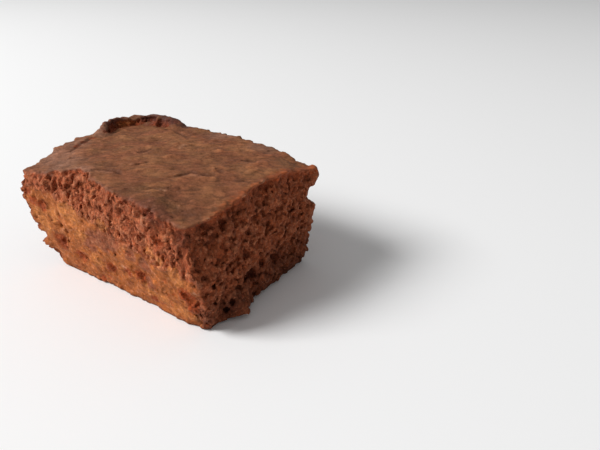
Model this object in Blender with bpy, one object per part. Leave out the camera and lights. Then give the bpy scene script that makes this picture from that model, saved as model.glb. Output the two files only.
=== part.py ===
"""A piece of spiced tray-bake cake, as one solid.

The piece has a flat base, a domed browned crust and four torn sides of open crumb.
The long front side (-Y) leans in towards the base, and its upper band is torn back
under the crust. The crust stands up in a broken rim round the back left corner.
Sizes are in millimetres, and the mesh is scaled to metres at the end.
"""

import math

import bmesh
import bpy
from mathutils import Vector, noise

METRES_PER_MM = 0.001

# The block, before it was torn: X is its long side, and Z is up from the base.
LENGTH = 76.0
WIDTH = 56.8
CRUST_HEIGHT = 38.5
GRID_STEP = 0.95

# How far each side leans in at the base, and the height at which the lean starts.
FRONT_LEAN = 4.7
BACK_LEAN = 1.4
LEFT_LEAN = 4.4
RIGHT_LEAN = 2.2
LEAN_START = 21.0
FOOT_ROUND = 0.4
FOOT_HEIGHT = 1.5

# The outline bulges out in the middle of the two far sides.
LEFT_BULGE = 6.0
LEFT_BULGE_AT = 10.0
LEFT_BULGE_REACH = 38.0
BACK_BULGE = 2.6
BACK_BULGE_AT = -4.0
BACK_BULGE_REACH = 32.0

# Upright corners: side in X, side in Y, radius.
CORNERS = ((-1, -1, 1.2), (1, -1, 1.5), (1, 1, 1.5), (-1, 1, 8.0))

# The crust falls away towards three corners: X, Y, fall, reach.
CORNER_FALLS = ((-38.0, -28.4, 3.6, 14.0), (38.0, -28.4, 3.5, 18.0), (39.0, 28.4, 3.8, 10.0))
DOME_RISE = 0.8

# The torn shoulder along the front: the crust is broken back from the edge.
SHOULDER_DEPTH = 1.3
SHOULDER_BITE = 6.2
SHOULDER_BITE_AT = -14.0
SHOULDER_BITE_LEFT = 12.0
SHOULDER_BITE_RIGHT = 10.0
SHOULDER_SLOPE = math.radians(58)

# Under the torn shoulder the side steps in, as if wiped smooth by the knife.
STEP_DEPTH = 1.3
STEP_HEIGHT_LEFT = 30.0
STEP_HEIGHT_RIGHT = 19.5

# The broken rim of crust round the back left corner.
RIM_PATH = ((-37.5, 3.0), (-41.5, 9.0), (-43.0, 15.5), (-41.0, 22.5), (-35.5, 26.8), (-28.0, 27.6), (-19.5, 27.4))
RIM_RISE = 3.2
RIM_WIDTH = 2.4
RIM_GROOVE = 1.0

# Splits in the crust: each is a path on the top, with a depth and a half width.
SPLITS = (
    (((-17.5, -26.0), (-15.0, -23.6), (-11.6, -21.1), (-7.5, -18.3), (-1.6, -16.6)), 1.1, 0.9),
    (((11.0, -11.3), (14.3, -5.1), (20.6, -2.1), (26.5, -3.5), (31.9, -0.7)), 0.5, 0.8),
    (((-12.5, 0.2), (-9.5, 1.8)), 0.4, 0.7),
    (((-7.5, -10.8), (-2.0, -7.6)), 0.35, 0.9),
)

# Single teeth, knobs and hollows in the crumb: place, radius, rise (a hollow is negative).
MARKS = (
    ((-38.5, -28.9, 34.6), 2.2, 1.4),
    ((-39.5, -29.3, 28.6), 2.2, 2.8),
    ((-38.6, -28.8, 23.0), 5.0, 1.1),
    ((-38.0, -28.0, 32.0), 1.3, -1.2),
    ((-36.0, -25.5, 8.8), 1.9, 2.6),
    ((-36.5, -25.5, 12.2), 1.6, -1.6),
    ((-31.5, -23.5, 1.6), 1.8, 2.4),
    ((39.0, 28.9, 32.4), 2.9, 2.9),
    ((38.0, 28.6, 25.6), 2.4, -3.4),
    ((38.3, 29.0, 15.0), 1.3, 2.6),
    ((37.5, 28.4, 21.8), 1.6, 1.2),
    ((37.0, -10.3, 32.6), 1.9, -2.6),
    ((37.0, 3.6, 23.4), 2.2, -2.0),
    ((36.0, 6.9, 11.0), 2.4, -2.4),
    ((36.0, -5.0, 11.3), 2.3, -2.8),
    ((36.0, -16.2, 5.0), 1.8, -2.4),
    ((37.0, -23.8, 29.6), 2.0, -1.8),
    ((37.5, 3.0, 34.5), 5.0, -1.6),
    ((37.0, -15.0, 24.0), 3.0, 0.9),
    ((36.4, -11.4, 2.2), 5.0, 4.6),
    ((36.4, 0.5, 7.0), 4.0, 1.8),
    ((36.8, 9.0, 3.0), 5.0, 1.2),
    ((-36.0, 28.4, 40.8), 1.2, 0.8),
    ((-24.0, -27.0, 19.0), 1.7, -2.0),
    ((-20.6, -27.0, 17.6), 1.5, -1.7),
    ((-24.5, -26.0, 13.0), 2.6, -1.4),
    ((8.0, -25.0, 8.3), 1.8, -1.4),
    ((14.4, -26.8, 14.9), 1.5, -1.3),
    ((33.5, -26.6, 12.0), 1.9, -2.0),
    ((-17.0, -26.0, 33.0), 2.0, -1.5),
    ((36.8, -27.6, 33.2), 1.6, -2.0),
    ((-39.0, -8.0, 20.0), 2.6, -2.2),
    ((-38.5, 12.0, 12.0), 2.4, -2.4),
    ((-20.0, 29.0, 18.0), 2.6, -2.4),
    ((8.0, 31.0, 26.0), 2.4, -2.4),
)

# The open crumb: clumps, the crevices between them, and bubbles.
CLUMP_SIZE = 7.0
CLUMP_RISE = 0.9
CREVICE_SPACING = 3.6
CREVICE_DEPTH = 1.0
BUBBLE_SPACING = 6.5
BUBBLE_RADIUS = 1.7
BUBBLE_DEPTH = 1.5
WIPED_SHARE = 0.4
CRUMB_SWELL = 0.75
CRUST_WAVE = 0.22
FACE_LIMIT = 11600

CRUMB_COLOUR = (0.24, 0.075, 0.032, 1.0)
CRUMB_ROUGHNESS = 0.82
CAKE_NAME = "cake"


def clear_scene():
    for item in list(bpy.data.objects):
        bpy.data.objects.remove(item, do_unlink=True)


def smooth_step(low, high, value):
    share = min(1.0, max(0.0, (value - low) / (high - low)))
    return share * share * (3.0 - 2.0 * share)


def bell(distance, reach):
    return math.exp(-(distance / reach) ** 2)


def bulge(along, centre, reach):
    return max(0.0, 1.0 - ((along - centre) / reach) ** 2)


def grid_block():
    """A box whose faces are split into an even grid, one axis after the other."""
    mesh = bmesh.new()
    bmesh.ops.create_cube(mesh, size=1.0)
    for axis, size in enumerate((LENGTH, WIDTH, CRUST_HEIGHT)):
        along = [
            edge for edge in mesh.edges
            if abs(edge.verts[0].co[axis] - edge.verts[1].co[axis]) > 0.5
        ]
        bmesh.ops.subdivide_edges(mesh, edges=along, cuts=round(size / GRID_STEP), use_grid_fill=True)
    bmesh.ops.scale(mesh, vec=Vector((LENGTH, WIDTH, CRUST_HEIGHT)), verts=mesh.verts)
    bmesh.ops.translate(mesh, vec=Vector((0.0, 0.0, CRUST_HEIGHT / 2)), verts=mesh.verts)
    return mesh


def round_upright_corners(point):
    """Turns the square plan corners into arcs, with the grid running round them."""
    for side_x, side_y, radius in CORNERS:
        out_x = side_x * point.x - (LENGTH / 2 - radius)
        out_y = side_y * point.y - (WIDTH / 2 - radius)
        if out_x > 0.0 and out_y > 0.0:
            share = max(out_x, out_y) / math.hypot(out_x, out_y)
            point.x = side_x * (LENGTH / 2 - radius + out_x * share)
            point.y = side_y * (WIDTH / 2 - radius + out_y * share)


def lean(height, amount):
    """How far a side has come in at a height, counted from its widest place."""
    low = max(0.0, 1.0 - height / LEAN_START)
    return amount * low ** 1.5 + FOOT_ROUND * max(0.0, 1.0 - height / FOOT_HEIGHT) ** 2


def shape_sides(point):
    """Moves the four sides to their leaning and bulging places."""
    height = point.z
    top = smooth_step(6.0, 30.0, height)
    left_out = LEFT_BULGE * bulge(point.y, LEFT_BULGE_AT, LEFT_BULGE_REACH) * (0.35 + 0.65 * top)
    back_out = BACK_BULGE * bulge(point.x, BACK_BULGE_AT, BACK_BULGE_REACH) * (0.5 + 0.5 * top)
    left = -LENGTH / 2 - left_out + lean(height, LEFT_LEAN)
    right = LENGTH / 2 - lean(height, RIGHT_LEAN)
    front = -WIDTH / 2 + lean(height, FRONT_LEAN)
    back = WIDTH / 2 + back_out - lean(height, BACK_LEAN)
    share_x = point.x / LENGTH + 0.5
    share_y = point.y / WIDTH + 0.5
    point.x = left + (right - left) * share_x
    point.y = front + (back - front) * share_y


def crust_height(x, y):
    """The top of the crust: a low dome that falls away towards three corners."""
    height = CRUST_HEIGHT + DOME_RISE * bulge(x, 0.0, 44.0) * bulge(y, 2.0, 34.0)
    for corner_x, corner_y, fall, reach in CORNER_FALLS:
        height -= fall * bell(math.hypot(x - corner_x, y - corner_y), reach)
    return height


def path_distance(x, y, path):
    """The distance from a place on the top to a path, and the share run along it."""
    nearest = (1e9, 0.0)
    for index in range(len(path) - 1):
        start = Vector(path[index])
        span = Vector(path[index + 1]) - start
        share = min(1.0, max(0.0, (Vector((x, y)) - start).dot(span) / span.length_squared))
        distance = (start + span * share - Vector((x, y))).length
        if distance < nearest[0]:
            nearest = (distance, (index + share) / (len(path) - 1))
    return nearest


def rim_rise(x, y):
    """The raised edge round the back left corner: a step up from a shallow groove."""
    distance, share = path_distance(x, y, RIM_PATH)
    outside = bulge(x, 60.0, 1.0)
    strength = smooth_step(0.0, 0.12, share) * (1.0 - smooth_step(0.9, 1.0, share))
    inner = (x - -20.0) * -0.62 + (y - 8.0) * 0.78
    crest = RIM_RISE * bell(distance, RIM_WIDTH)
    groove = RIM_GROOVE * bell(distance - 3.6, 1.3)
    return strength * (crest - (groove if inner < 24.0 else outside))


def split_depth(x, y):
    depth = 0.0
    for path, deep, half_width in SPLITS:
        distance, share = path_distance(x, y, path)
        ends = smooth_step(-0.1, 0.15, share) * (1.0 - smooth_step(0.8, 1.1, share))
        depth = max(depth, deep * ends * max(0.0, 1.0 - distance / half_width))
    return depth


def shape_top(point):
    """Raises or lowers a point in step with the crust above it."""
    x, y = point.x, point.y
    near_top = smooth_step(CRUST_HEIGHT - 9.0, CRUST_HEIGHT, point.z)
    target = crust_height(x, y)
    point.z *= target / CRUST_HEIGHT
    wave = CRUST_WAVE * noise.noise(Vector((x / 9.0, y / 5.0, 3.0)))
    point.z += near_top * (rim_rise(x, y) - split_depth(x, y) + wave)


def shoulder_depth(x):
    """How far the crust is broken back from the front edge."""
    reach = SHOULDER_BITE_LEFT if x < SHOULDER_BITE_AT else SHOULDER_BITE_RIGHT
    wobble = 0.9 * noise.noise(Vector((x / 5.0, 1.7, 0.0)))
    return SHOULDER_DEPTH + SHOULDER_BITE * bell(x - SHOULDER_BITE_AT, reach) + wobble


def tear_shoulder(point):
    """Pushes what stands out past the sloping tear back on to it, and marks it."""
    slope_y = -math.sin(SHOULDER_SLOPE)
    slope_z = math.cos(SHOULDER_SLOPE)
    edge_y = -WIDTH / 2 + shoulder_depth(point.x)
    edge_z = crust_height(point.x, edge_y)
    outside = (point.y - edge_y) * slope_y + (point.z - edge_z) * slope_z
    if outside > 0.0:
        point.y -= outside * slope_y
        point.z -= outside * slope_z


def step_height(x):
    share = smooth_step(-30.0, 30.0, x)
    wobble = 1.6 * noise.noise(Vector((x / 6.0, 8.3, 0.0)))
    return STEP_HEIGHT_LEFT + (STEP_HEIGHT_RIGHT - STEP_HEIGHT_LEFT) * share + wobble


def wiped_share(point, normal):
    """One where the front side is wiped smooth below the step, nought elsewhere."""
    front = smooth_step(0.55, 0.85, -normal.y)
    below = 1.0 - smooth_step(-1.2, 0.8, point.z - step_height(point.x))
    return front * below


def crumb_relief(point, wiped):
    """Rise of the torn crumb at a point: clumps, crevices and bubbles."""
    clumps = CLUMP_RISE * noise.noise(point / CLUMP_SIZE)
    distances, _ = noise.voronoi(point / CREVICE_SPACING)
    crevice = CREVICE_DEPTH * (1.0 - smooth_step(0.0, 0.45, distances[1] - distances[0]))
    bubble_distance = noise.voronoi(point / BUBBLE_SPACING + Vector((7.3, 2.1, 4.4)))[0][0] * BUBBLE_SPACING
    bubble = BUBBLE_DEPTH * max(0.0, 1.0 - (bubble_distance / BUBBLE_RADIUS) ** 2)
    rough = clumps * 0.6 - crevice - bubble
    return CRUMB_SWELL + clumps * 0.4 + rough * (1.0 - wiped * (1.0 - WIPED_SHARE))


def mark_relief(point):
    return sum(rise * bell((point - Vector(place)).length, radius) for place, radius, rise in MARKS)


def roughen_crumb(mesh):
    """Moves the sides in and out along their normals, and leaves crust and base alone."""
    mesh.normal_update()
    moves = []
    for vert in mesh.verts:
        point = vert.co.copy()
        normal = vert.normal.copy()
        crumb = 1.0 - smooth_step(0.72, 0.86, normal.z)
        crumb *= smooth_step(0.0, 1.6, point.z)
        if normal.z < 0.2:
            normal.z = 0.0
            normal.normalize()
        wiped = wiped_share(point, normal)
        rise = crumb_relief(point, wiped) - STEP_DEPTH * wiped
        moves.append(normal * crumb * (rise + mark_relief(point)))
    for vert, move in zip(mesh.verts, moves):
        vert.co += move


def cake_material():
    material = bpy.data.materials.new("cake crumb")
    material.use_nodes = True
    shader = material.node_tree.nodes["Principled BSDF"]
    shader.inputs["Base Color"].default_value = CRUMB_COLOUR
    shader.inputs["Roughness"].default_value = CRUMB_ROUGHNESS
    shader.inputs["Metallic"].default_value = 0.0
    return material


def thin_faces(cake):
    """Collapses the fine grid to the fewest faces that keep its form."""
    cake.data.calc_loop_triangles()
    thinner = cake.modifiers.new("Fewer faces", 'DECIMATE')
    thinner.decimate_type = 'COLLAPSE'
    thinner.ratio = FACE_LIMIT / len(cake.data.loop_triangles)
    thinner.use_collapse_triangulate = True
    thinned = bpy.data.meshes.new_from_object(cake.evaluated_get(bpy.context.evaluated_depsgraph_get()))
    cake.modifiers.remove(thinner)
    cake.data = thinned


def stand_on_origin(mesh_data):
    """Puts the middle of the base at the origin and the base flat on the ground."""
    flat_band = 0.05 * METRES_PER_MM
    spans = [[vert.co[axis] for vert in mesh_data.vertices] for axis in range(3)]
    middle = [(min(span) + max(span)) / 2 for span in spans]
    floor = min(spans[2])
    for vert in mesh_data.vertices:
        vert.co.x -= middle[0]
        vert.co.y -= middle[1]
        vert.co.z -= floor
        if vert.co.z < flat_band:
            vert.co.z = 0.0
    print("origin moved by", [round(value / METRES_PER_MM, 3) for value in middle], "mm")


def build_cake():
    mesh = grid_block()
    for vert in mesh.verts:
        round_upright_corners(vert.co)
        shape_sides(vert.co)
        shape_top(vert.co)
        tear_shoulder(vert.co)
    roughen_crumb(mesh)
    bmesh.ops.scale(mesh, vec=Vector((METRES_PER_MM,) * 3), verts=mesh.verts)
    bmesh.ops.recalc_face_normals(mesh, faces=mesh.faces)
    data = bpy.data.meshes.new(CAKE_NAME)
    mesh.to_mesh(data)
    mesh.free()
    cake = bpy.data.objects.new(CAKE_NAME, data)
    bpy.context.scene.collection.objects.link(cake)
    thin_faces(cake)
    stand_on_origin(cake.data)
    cake.data.materials.clear()
    cake.data.materials.append(cake_material())
    cake.data.shade_smooth()
    return cake


clear_scene()
build_cake()
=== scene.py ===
# %% [markdown]
# A torn piece of spiced tray bake.
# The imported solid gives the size, the lean of the sides and the larger crags. This script
# gives the piece what the eye looks for: a dull, creased crust over open, moist crumb.
# Sizes are in millimetres unless a name says otherwise.

# %% The frame
import math

import bmesh
import bpy
import numpy as np
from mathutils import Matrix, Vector, noise
from mathutils.kdtree import KDTree


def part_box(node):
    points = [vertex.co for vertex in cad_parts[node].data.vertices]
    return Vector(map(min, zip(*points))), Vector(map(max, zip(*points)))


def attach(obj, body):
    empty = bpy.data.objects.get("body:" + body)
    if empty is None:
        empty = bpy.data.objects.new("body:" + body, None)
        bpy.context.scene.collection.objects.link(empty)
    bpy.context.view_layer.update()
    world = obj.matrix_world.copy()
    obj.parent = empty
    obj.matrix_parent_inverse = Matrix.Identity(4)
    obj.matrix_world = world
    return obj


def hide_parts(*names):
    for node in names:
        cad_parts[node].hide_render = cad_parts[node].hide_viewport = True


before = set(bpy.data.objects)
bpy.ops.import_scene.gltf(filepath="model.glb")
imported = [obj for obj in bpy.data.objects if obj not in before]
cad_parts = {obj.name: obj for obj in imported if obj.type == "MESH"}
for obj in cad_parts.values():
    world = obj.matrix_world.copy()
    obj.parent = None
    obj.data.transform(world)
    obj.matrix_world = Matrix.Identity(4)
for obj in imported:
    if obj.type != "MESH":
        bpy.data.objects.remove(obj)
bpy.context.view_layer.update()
MM = 0.001
cake_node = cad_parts["cake"]
LOW_CORNER, HIGH_CORNER = (tuple(value / MM for value in corner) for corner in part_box("cake"))
print("solid, mm:", [round(high - low, 1) for low, high in zip(LOW_CORNER, HIGH_CORNER)])

# %% [markdown]
# The camera comes first, because everything is judged through it. It stands 0.2 m away,
# above the piece and round to the right, so that the crust and two sides show.

# %% Camera
EYE_PLACE = Vector((134.1, -117.45, 101.2)) * MM
LOOK_DOWN = math.radians(26.82)
LOOK_ROUND = math.radians(34.56)
LENS_MM = 33.6
SENSOR_MM = 36.0


def add_camera():
    backwards = Vector((
        math.sin(LOOK_ROUND) * math.cos(LOOK_DOWN),
        -math.cos(LOOK_ROUND) * math.cos(LOOK_DOWN),
        math.sin(LOOK_DOWN),
    ))
    camera = bpy.data.objects.new("Camera", bpy.data.cameras.new("Camera"))
    camera.data.sensor_width = SENSOR_MM
    camera.data.lens = LENS_MM
    camera.data.clip_start = 1.0 * MM
    camera.location = EYE_PLACE
    camera.rotation_mode = 'QUATERNION'
    camera.rotation_quaternion = (-backwards).to_track_quat("-Z", "Y")
    bpy.context.scene.collection.objects.link(camera)
    bpy.context.scene.camera = camera


add_camera()
print("camera, mm from the origin:", round(EYE_PLACE.length / MM))

# %% [markdown]
# The solid was made from a plain block, so its crust, its torn shoulder and its rim can be
# found again by the block's own measures. Places on the block are counted from its middle,
# a little to one side of the origin.

# %% Where things are on the block
BLOCK_MIDDLE = Vector((2.0, -1.25, 0.0))
HALF_LENGTH = 38.0
HALF_WIDTH = 28.4
CRUST_HEIGHT = 38.5
DOME_RISE = 0.8
CORNER_FALLS = ((-38.0, -28.4, 3.6, 14.0), (38.0, -28.4, 3.5, 18.0), (39.0, 28.4, 3.8, 10.0))
SHOULDER_DEPTH = 1.3
SHOULDER_BITE = 3.4
SHOULDER_BITE_AT = -14.0
SHOULDER_BITE_LEFT = 12.0
SHOULDER_BITE_RIGHT = 10.0
STEP_HEIGHT_LEFT = 30.0
STEP_HEIGHT_RIGHT = 19.5


def smooth_step(low, high, value):
    share = min(1.0, max(0.0, (value - low) / (high - low)))
    return share * share * (3.0 - 2.0 * share)


def bell(distance, reach):
    return math.exp(-(distance / reach) ** 2)


def bulge(along, centre, reach):
    return max(0.0, 1.0 - ((along - centre) / reach) ** 2)


def crust_height(x, y):
    """The top of the crust, a low dome that falls away towards three corners."""
    height = CRUST_HEIGHT + DOME_RISE * bulge(x, 0.0, 44.0) * bulge(y, 2.0, 34.0)
    for corner_x, corner_y, fall, reach in CORNER_FALLS:
        height -= fall * bell(math.hypot(x - corner_x, y - corner_y), reach)
    return height


def shoulder_edge(x):
    """Where the crust ends along the front, measured from the block's middle."""
    reach = SHOULDER_BITE_LEFT if x < SHOULDER_BITE_AT else SHOULDER_BITE_RIGHT
    wobble = 0.9 * noise.noise(Vector((x / 5.0, 1.7, 0.0)))
    return -HALF_WIDTH + SHOULDER_DEPTH + SHOULDER_BITE * bell(x - SHOULDER_BITE_AT, reach) + wobble


def step_height(x):
    """Where the torn upper band of the front side gives way to the wiped lower band."""
    share = smooth_step(-30.0, 30.0, x)
    wobble = 1.6 * noise.noise(Vector((x / 6.0, 8.3, 0.0)))
    return STEP_HEIGHT_LEFT + (STEP_HEIGHT_RIGHT - STEP_HEIGHT_LEFT) * share + wobble


# %% [markdown]
# The solid is a few thousand flat faces. A voxel remesh makes them one even skin, and a light
# smoothing takes the facets off without losing the crags. A few listed places are then pushed,
# most of all the front corner, which leans in under the crust. This skin, the core, is
# never shown: it only says how far any place in space is from the cake's surface.

# %% The core
CORE_VOXEL = 0.6
CORE_SMOOTHING = 4
PUSHES = (
    ((37.5, -29.0, 32.0), 8.0, (-4.4, 0.5, -0.7)), ((40.0, -27.0, 11.0), 8.0, (1.8, -0.5, 0.0)),
    ((-37.5, -29.0, 31.5), 5.5, (-0.8, -0.3, 0.0)), ((-33.0, -27.8, 10.0), 4.0, (1.8, 0.3, 0.3)),
    ((-29.0, -26.0, 4.0), 4.0, (1.0, 0.6, 0.3)), ((28.0, -25.5, 1.0), 8.0, (0.0, -0.7, 0.0)),
    ((41.0, -13.0, 3.0), 5.0, (0.8, -0.3, 0.0)), ((24.0, 27.5, 38.5), 7.0, (0.0, 0.0, -0.6)),
    ((-37.0, 21.5, 42.0), 4.0, (0.3, 0.0, -0.8)), ((-9.0, -25.0, 36.5), 6.0, (0.0, -0.7, 1.2)),
)


def evaluated_mesh(item):
    """A plain mesh of the item with its modifiers worked out."""
    depsgraph = bpy.context.evaluated_depsgraph_get()
    return bpy.data.meshes.new_from_object(item.evaluated_get(depsgraph))


def linked_object(name, data):
    item = bpy.data.objects.new(name, data)
    bpy.context.scene.collection.objects.link(item)
    return item


def push_out(data):
    """Leans the front corner in and shifts the other places listed, each within its reach."""
    for vertex in data.vertices:
        place = vertex.co / MM
        for centre, reach, shift in PUSHES:
            vertex.co += Vector(shift) * MM * bell((place - Vector(centre)).length, reach)
    data.update()


def core_skin(node):
    mesh = bmesh.new()
    mesh.from_mesh(node.data)
    bmesh.ops.remove_doubles(mesh, verts=mesh.verts, dist=0.001 * MM)
    data = bpy.data.meshes.new("core")
    mesh.to_mesh(data)
    mesh.free()
    core = linked_object("core", data)
    even = core.modifiers.new("Even faces", 'REMESH')
    even.mode = 'VOXEL'
    even.voxel_size = CORE_VOXEL * MM
    soften = core.modifiers.new("Off with the facets", 'SMOOTH')
    soften.iterations = CORE_SMOOTHING
    skin = evaluated_mesh(core)
    core.modifiers.clear()
    core.data = skin
    push_out(skin)
    return core


core = core_skin(cake_node)
print("core:", len(core.data.vertices), "points")

# %% [markdown]
# One baked mass has several surfaces. The crust is closed and smooth. The sides were torn, so
# they are open crumb. The upper band of the front is pulled into upright ridges, its lower
# band is wiped by the knife, and the right end is the coarsest. Crust crumbles a little along
# its broken edges, and a few edges of the crumb are pressed firm. Each point of the core gets
# four shares, kept as one colour: open, pulled, wiped and coarse.

# %% What each place is made of
CRUST_SKIN = 2.2
TOP_LEVEL = (0.62, 0.80)
CRUMBLING = 0.45
CRUMBLING_REACH = 3.0
FIRM_PLACES = (
    (-32, -26.2, 11, 4.5), (-30.5, -25, 6, 4.5), (-23.5, -25.2, 5, 4.5), (39, -12.8, 4, 4),
    (38, 28.2, 36, 4), (38, 28.4, 29, 5), (38, 28.4, 21, 5), (38, 28.4, 12, 5),
)
FIRMNESS = 0.75
ROUGH_PLACES = (
    (-25.9, -26, 12.1, 3.4), (31.5, -26.4, 12.7, 3.4), (33.2, -25.4, 8.7, 3), (12.3, -26.2, 12.5, 2.6),
    (-2.3, -25.8, 9.9, 2.2), (-17.5, -25.4, 9.1, 2.4), (-31.1, -27.5, 24.4, 2),
)
ROUGHNESS_LEFT = 0.8
UNDERSIDE_LEVEL = (0.7, 0.9)
BASE_HEIGHT = (0.3, 0.9)
EDGE_BLEND = (-1.0, 0.5)
BACK_RIM = (-3.0, 0.0)
BACK_RIM_HEIGHT = (-5.0, -2.0)
STEP_BLEND = (-1.2, 0.8)
SIDE_BLEND = 0.06


def near_spot(place, spots):
    """One at the middle of a spot, falling to nought beyond its reach."""
    return max(bell((place - Vector(spot[:3])).length, spot[3]) for spot in spots)


def surface_shares(place, outward):
    """(crust, open, pulled, wiped, coarse) at a place in millimetres on the block."""
    ragged = noise.noise(place / 1.7) + 0.6 * noise.noise(place / 0.8)
    above_crust = place.z - crust_height(place.x, place.y)
    past_shoulder = place.y - shoulder_edge(place.x)
    flat_top = smooth_step(*TOP_LEVEL, outward.z + 0.18 * ragged)
    high = smooth_step(-CRUST_SKIN, -CRUST_SKIN / 2, above_crust + 0.7 * ragged)
    inside = smooth_step(*EDGE_BLEND, past_shoulder + 1.2 * ragged)
    crust = flat_top * high * inside
    under = smooth_step(*UNDERSIDE_LEVEL, -outward.z) * (1.0 - smooth_step(*BASE_HEIGHT, place.z))
    inward = min(past_shoulder, HALF_LENGTH + 0.5 - place.x)
    crumbling = CRUMBLING * (1.0 - smooth_step(0.0, CRUMBLING_REACH, inward + 1.5 * ragged))
    back_edge = smooth_step(*BACK_RIM, place.y - HALF_WIDTH) * smooth_step(*BACK_RIM_HEIGHT, above_crust)
    firm = max(near_spot(place, FIRM_PLACES), back_edge)
    is_open = (1.0 - crust * (1.0 - crumbling)) * (1.0 - under) * (1.0 - FIRMNESS * firm)
    across = place.x / HALF_LENGTH
    along = place.y / HALF_WIDTH
    front = smooth_step(-SIDE_BLEND, SIDE_BLEND, -along - abs(across))
    right = smooth_step(-SIDE_BLEND, SIDE_BLEND, across - abs(along))
    below = 1.0 - smooth_step(*STEP_BLEND, place.z - step_height(place.x))
    wiped = front * below * (1.0 - ROUGHNESS_LEFT * near_spot(place, ROUGH_PLACES))
    return crust, is_open, front * (1.0 - below), wiped, max(right, 0.5 * (1.0 - front))


def mark_core(data):
    shares, outwards, crusts = [], [], []
    for vertex in data.vertices:
        outward = vertex.normal
        place = vertex.co / MM - BLOCK_MIDDLE
        crust, *rest = surface_shares(place, outward)
        crusts.append(crust)
        shares.extend(rest)
        outwards.extend(outward)
    data.attributes.new("shares", 'FLOAT_COLOR', 'POINT').data.foreach_set("color", shares)
    data.attributes.new("outward", 'FLOAT_VECTOR', 'POINT').data.foreach_set("vector", outwards)
    data.attributes.new("crust", 'FLOAT', 'POINT').data.foreach_set("value", crusts)
    return sum(crusts) / len(crusts)


print("share of crust:", round(mark_core(core.data), 3))

# %% [markdown]
# Some holes and creases are large enough to know by sight, so they are listed one by one: gas
# holes in the right end and the front, and the thin splits that a crust gets when the crumb
# under it rises. Two helper meshes keep them, a point for each hole and a row of points, laid
# flat, for each split. The crumb's node tree measures its distance from them.

# %% Holes and splits
HOLES = (
    (38.9, -11.9, 32.9, 1.5), (33.6, -29.0, 31.7, 1.7), (38.4, 3.6, 23.8, 1.1), (39.0, 1.3, 21.5, 1.1),
    (37.8, 7.1, 9.9, 1.6), (38.0, -4.9, 10.3, 1.6), (38.5, 0.3, 34.6, 1.1), (39.5, -15.6, 6.3, 1.2),
    (38.0, -17.0, 3.8, 1.2), (36.6, -27.3, 30.5, 1.2), (38.4, -26.6, 25.1, 1.2), (39.0, -7.4, 18.3, 1.2),
    (40.1, -3.4, 19.9, 0.9), (39.6, -9.2, 34.0, 0.8), (39.5, 13.1, 23.1, 0.9), (38.6, 10.9, 14.0, 0.9),
    (38.8, -11.4, 8.7, 0.9), (39.3, -23.1, 14.5, 1.0), (39.8, -19.2, 24.5, 0.9), (40.1, 13.2, 16.4, 0.9),
    (-22.3, -27.4, 19.1, 0.9), (-19.5, -27.3, 17.4, 1.0), (8.2, -27.2, 11.7, 0.8), (11.8, -27.4, 12.5, 0.9),
    (14.3, -27.1, 12.5, 1.1), (33.5, -27.6, 12.9, 0.8), (34.6, -26.8, 11.0, 0.7), (38.1, -28.6, 17.8, 0.8),
    (-8.8, -26.8, 31.3, 1.0), (-6.3, -28.8, 30.3, 0.9), (21.4, -28.9, 28.4, 0.9), (21.8, -28.8, 35.2, 0.9),
    (23.4, -28.0, 35.7, 0.9), (27.3, -29.4, 28.4, 1.1), (35.2, -28.4, 28.2, 1.0), (7.1, -29.6, 30.3, 0.9),
    (-17.6, -25.6, 32.9, 0.9), (-12.2, -26.1, 33.4, 0.9), (30.5, -28.9, 28.2, 1.0),
)
SPLITS = (
    (0.70, ((-7.9, -24.0), (-7.3, -22.3), (-5.8, -20.2), (-3.1, -18.9), (-0.8, -18.5), (2.2, -18.8))),
    (0.70, ((16.1, -10.4), (16.8, -8.2), (17.8, -6.4), (19.8, -5.6), (22.5, -5.0), (25.2, -4.2))),
    (0.50, ((22.6, -0.7), (24.0, -0.4), (25.7, -0.6))),
    (0.60, ((23.4, 11.2), (25.8, 11.8), (28.6, 11.8))),
    (0.60, ((-8.9, -3.3), (-8.2, -1.3), (-7.9, 1.5))),
    (0.38, ((-3.3, -12.9), (-0.7, -11.6), (0.4, -8.5), (0.5, -6.5))),
    (0.50, ((-17.5, 20.8), (-13.1, 20.0), (-8.7, 18.1), (-4.7, 15.4))),
    (0.35, ((-9.6, -17.1), (-6.7, -16.0), (-4.6, -14.2))),
    (0.40, ((-26.0, -17.4), (-24.0, -16.6))),
    (0.50, ((30.3, -2.6), (33.0, -1.7), (35.4, -0.5))),
    (0.50, ((14.8, -21.8), (17.3, -20.3), (20.2, -19.3))),
    (0.60, ((-31.6, -13.1), (-34.0, -7.8), (-35.7, -2.4), (-35.6, 0.5))),
)
SPLIT_STEP = 0.4
SPLIT_WANDER = 0.6
SPLIT_WANDER_SIZE = 2.6
SPLIT_TAPER = 0.4


def split_points(half_width, path):
    """(x, y, 0, half width) along a split, close together and a little unsteady."""
    points = []
    for (x0, y0), (x1, y1) in zip(path, path[1:]):
        steps = max(2, round(math.hypot(x1 - x0, y1 - y0) / SPLIT_STEP))
        for step in range(steps):
            x = x0 + (x1 - x0) * step / steps
            y = y0 + (y1 - y0) * step / steps
            wander = [
                SPLIT_WANDER * noise.noise(Vector((x / SPLIT_WANDER_SIZE, y / SPLIT_WANDER_SIZE, draw)))
                for draw in (3.0, 9.0)]
            points.append((x + wander[0], y + wander[1]))
    count = len(points) + 1
    return [(x, y, 0.0, half_width * math.sin(math.pi * (index + 1) / count) ** SPLIT_TAPER)
            for index, (x, y) in enumerate(points)]


def spots_object(name, spots):
    """An object of loose points, each with its radius in millimetres."""
    data = bpy.data.meshes.new(name)
    data.from_pydata([tuple(value * MM for value in spot[:3]) for spot in spots], [], [])
    radius = data.attributes.new("radius", 'FLOAT', 'POINT')
    radius.data.foreach_set("value", [spot[3] for spot in spots])
    return linked_object(name, data)


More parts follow.
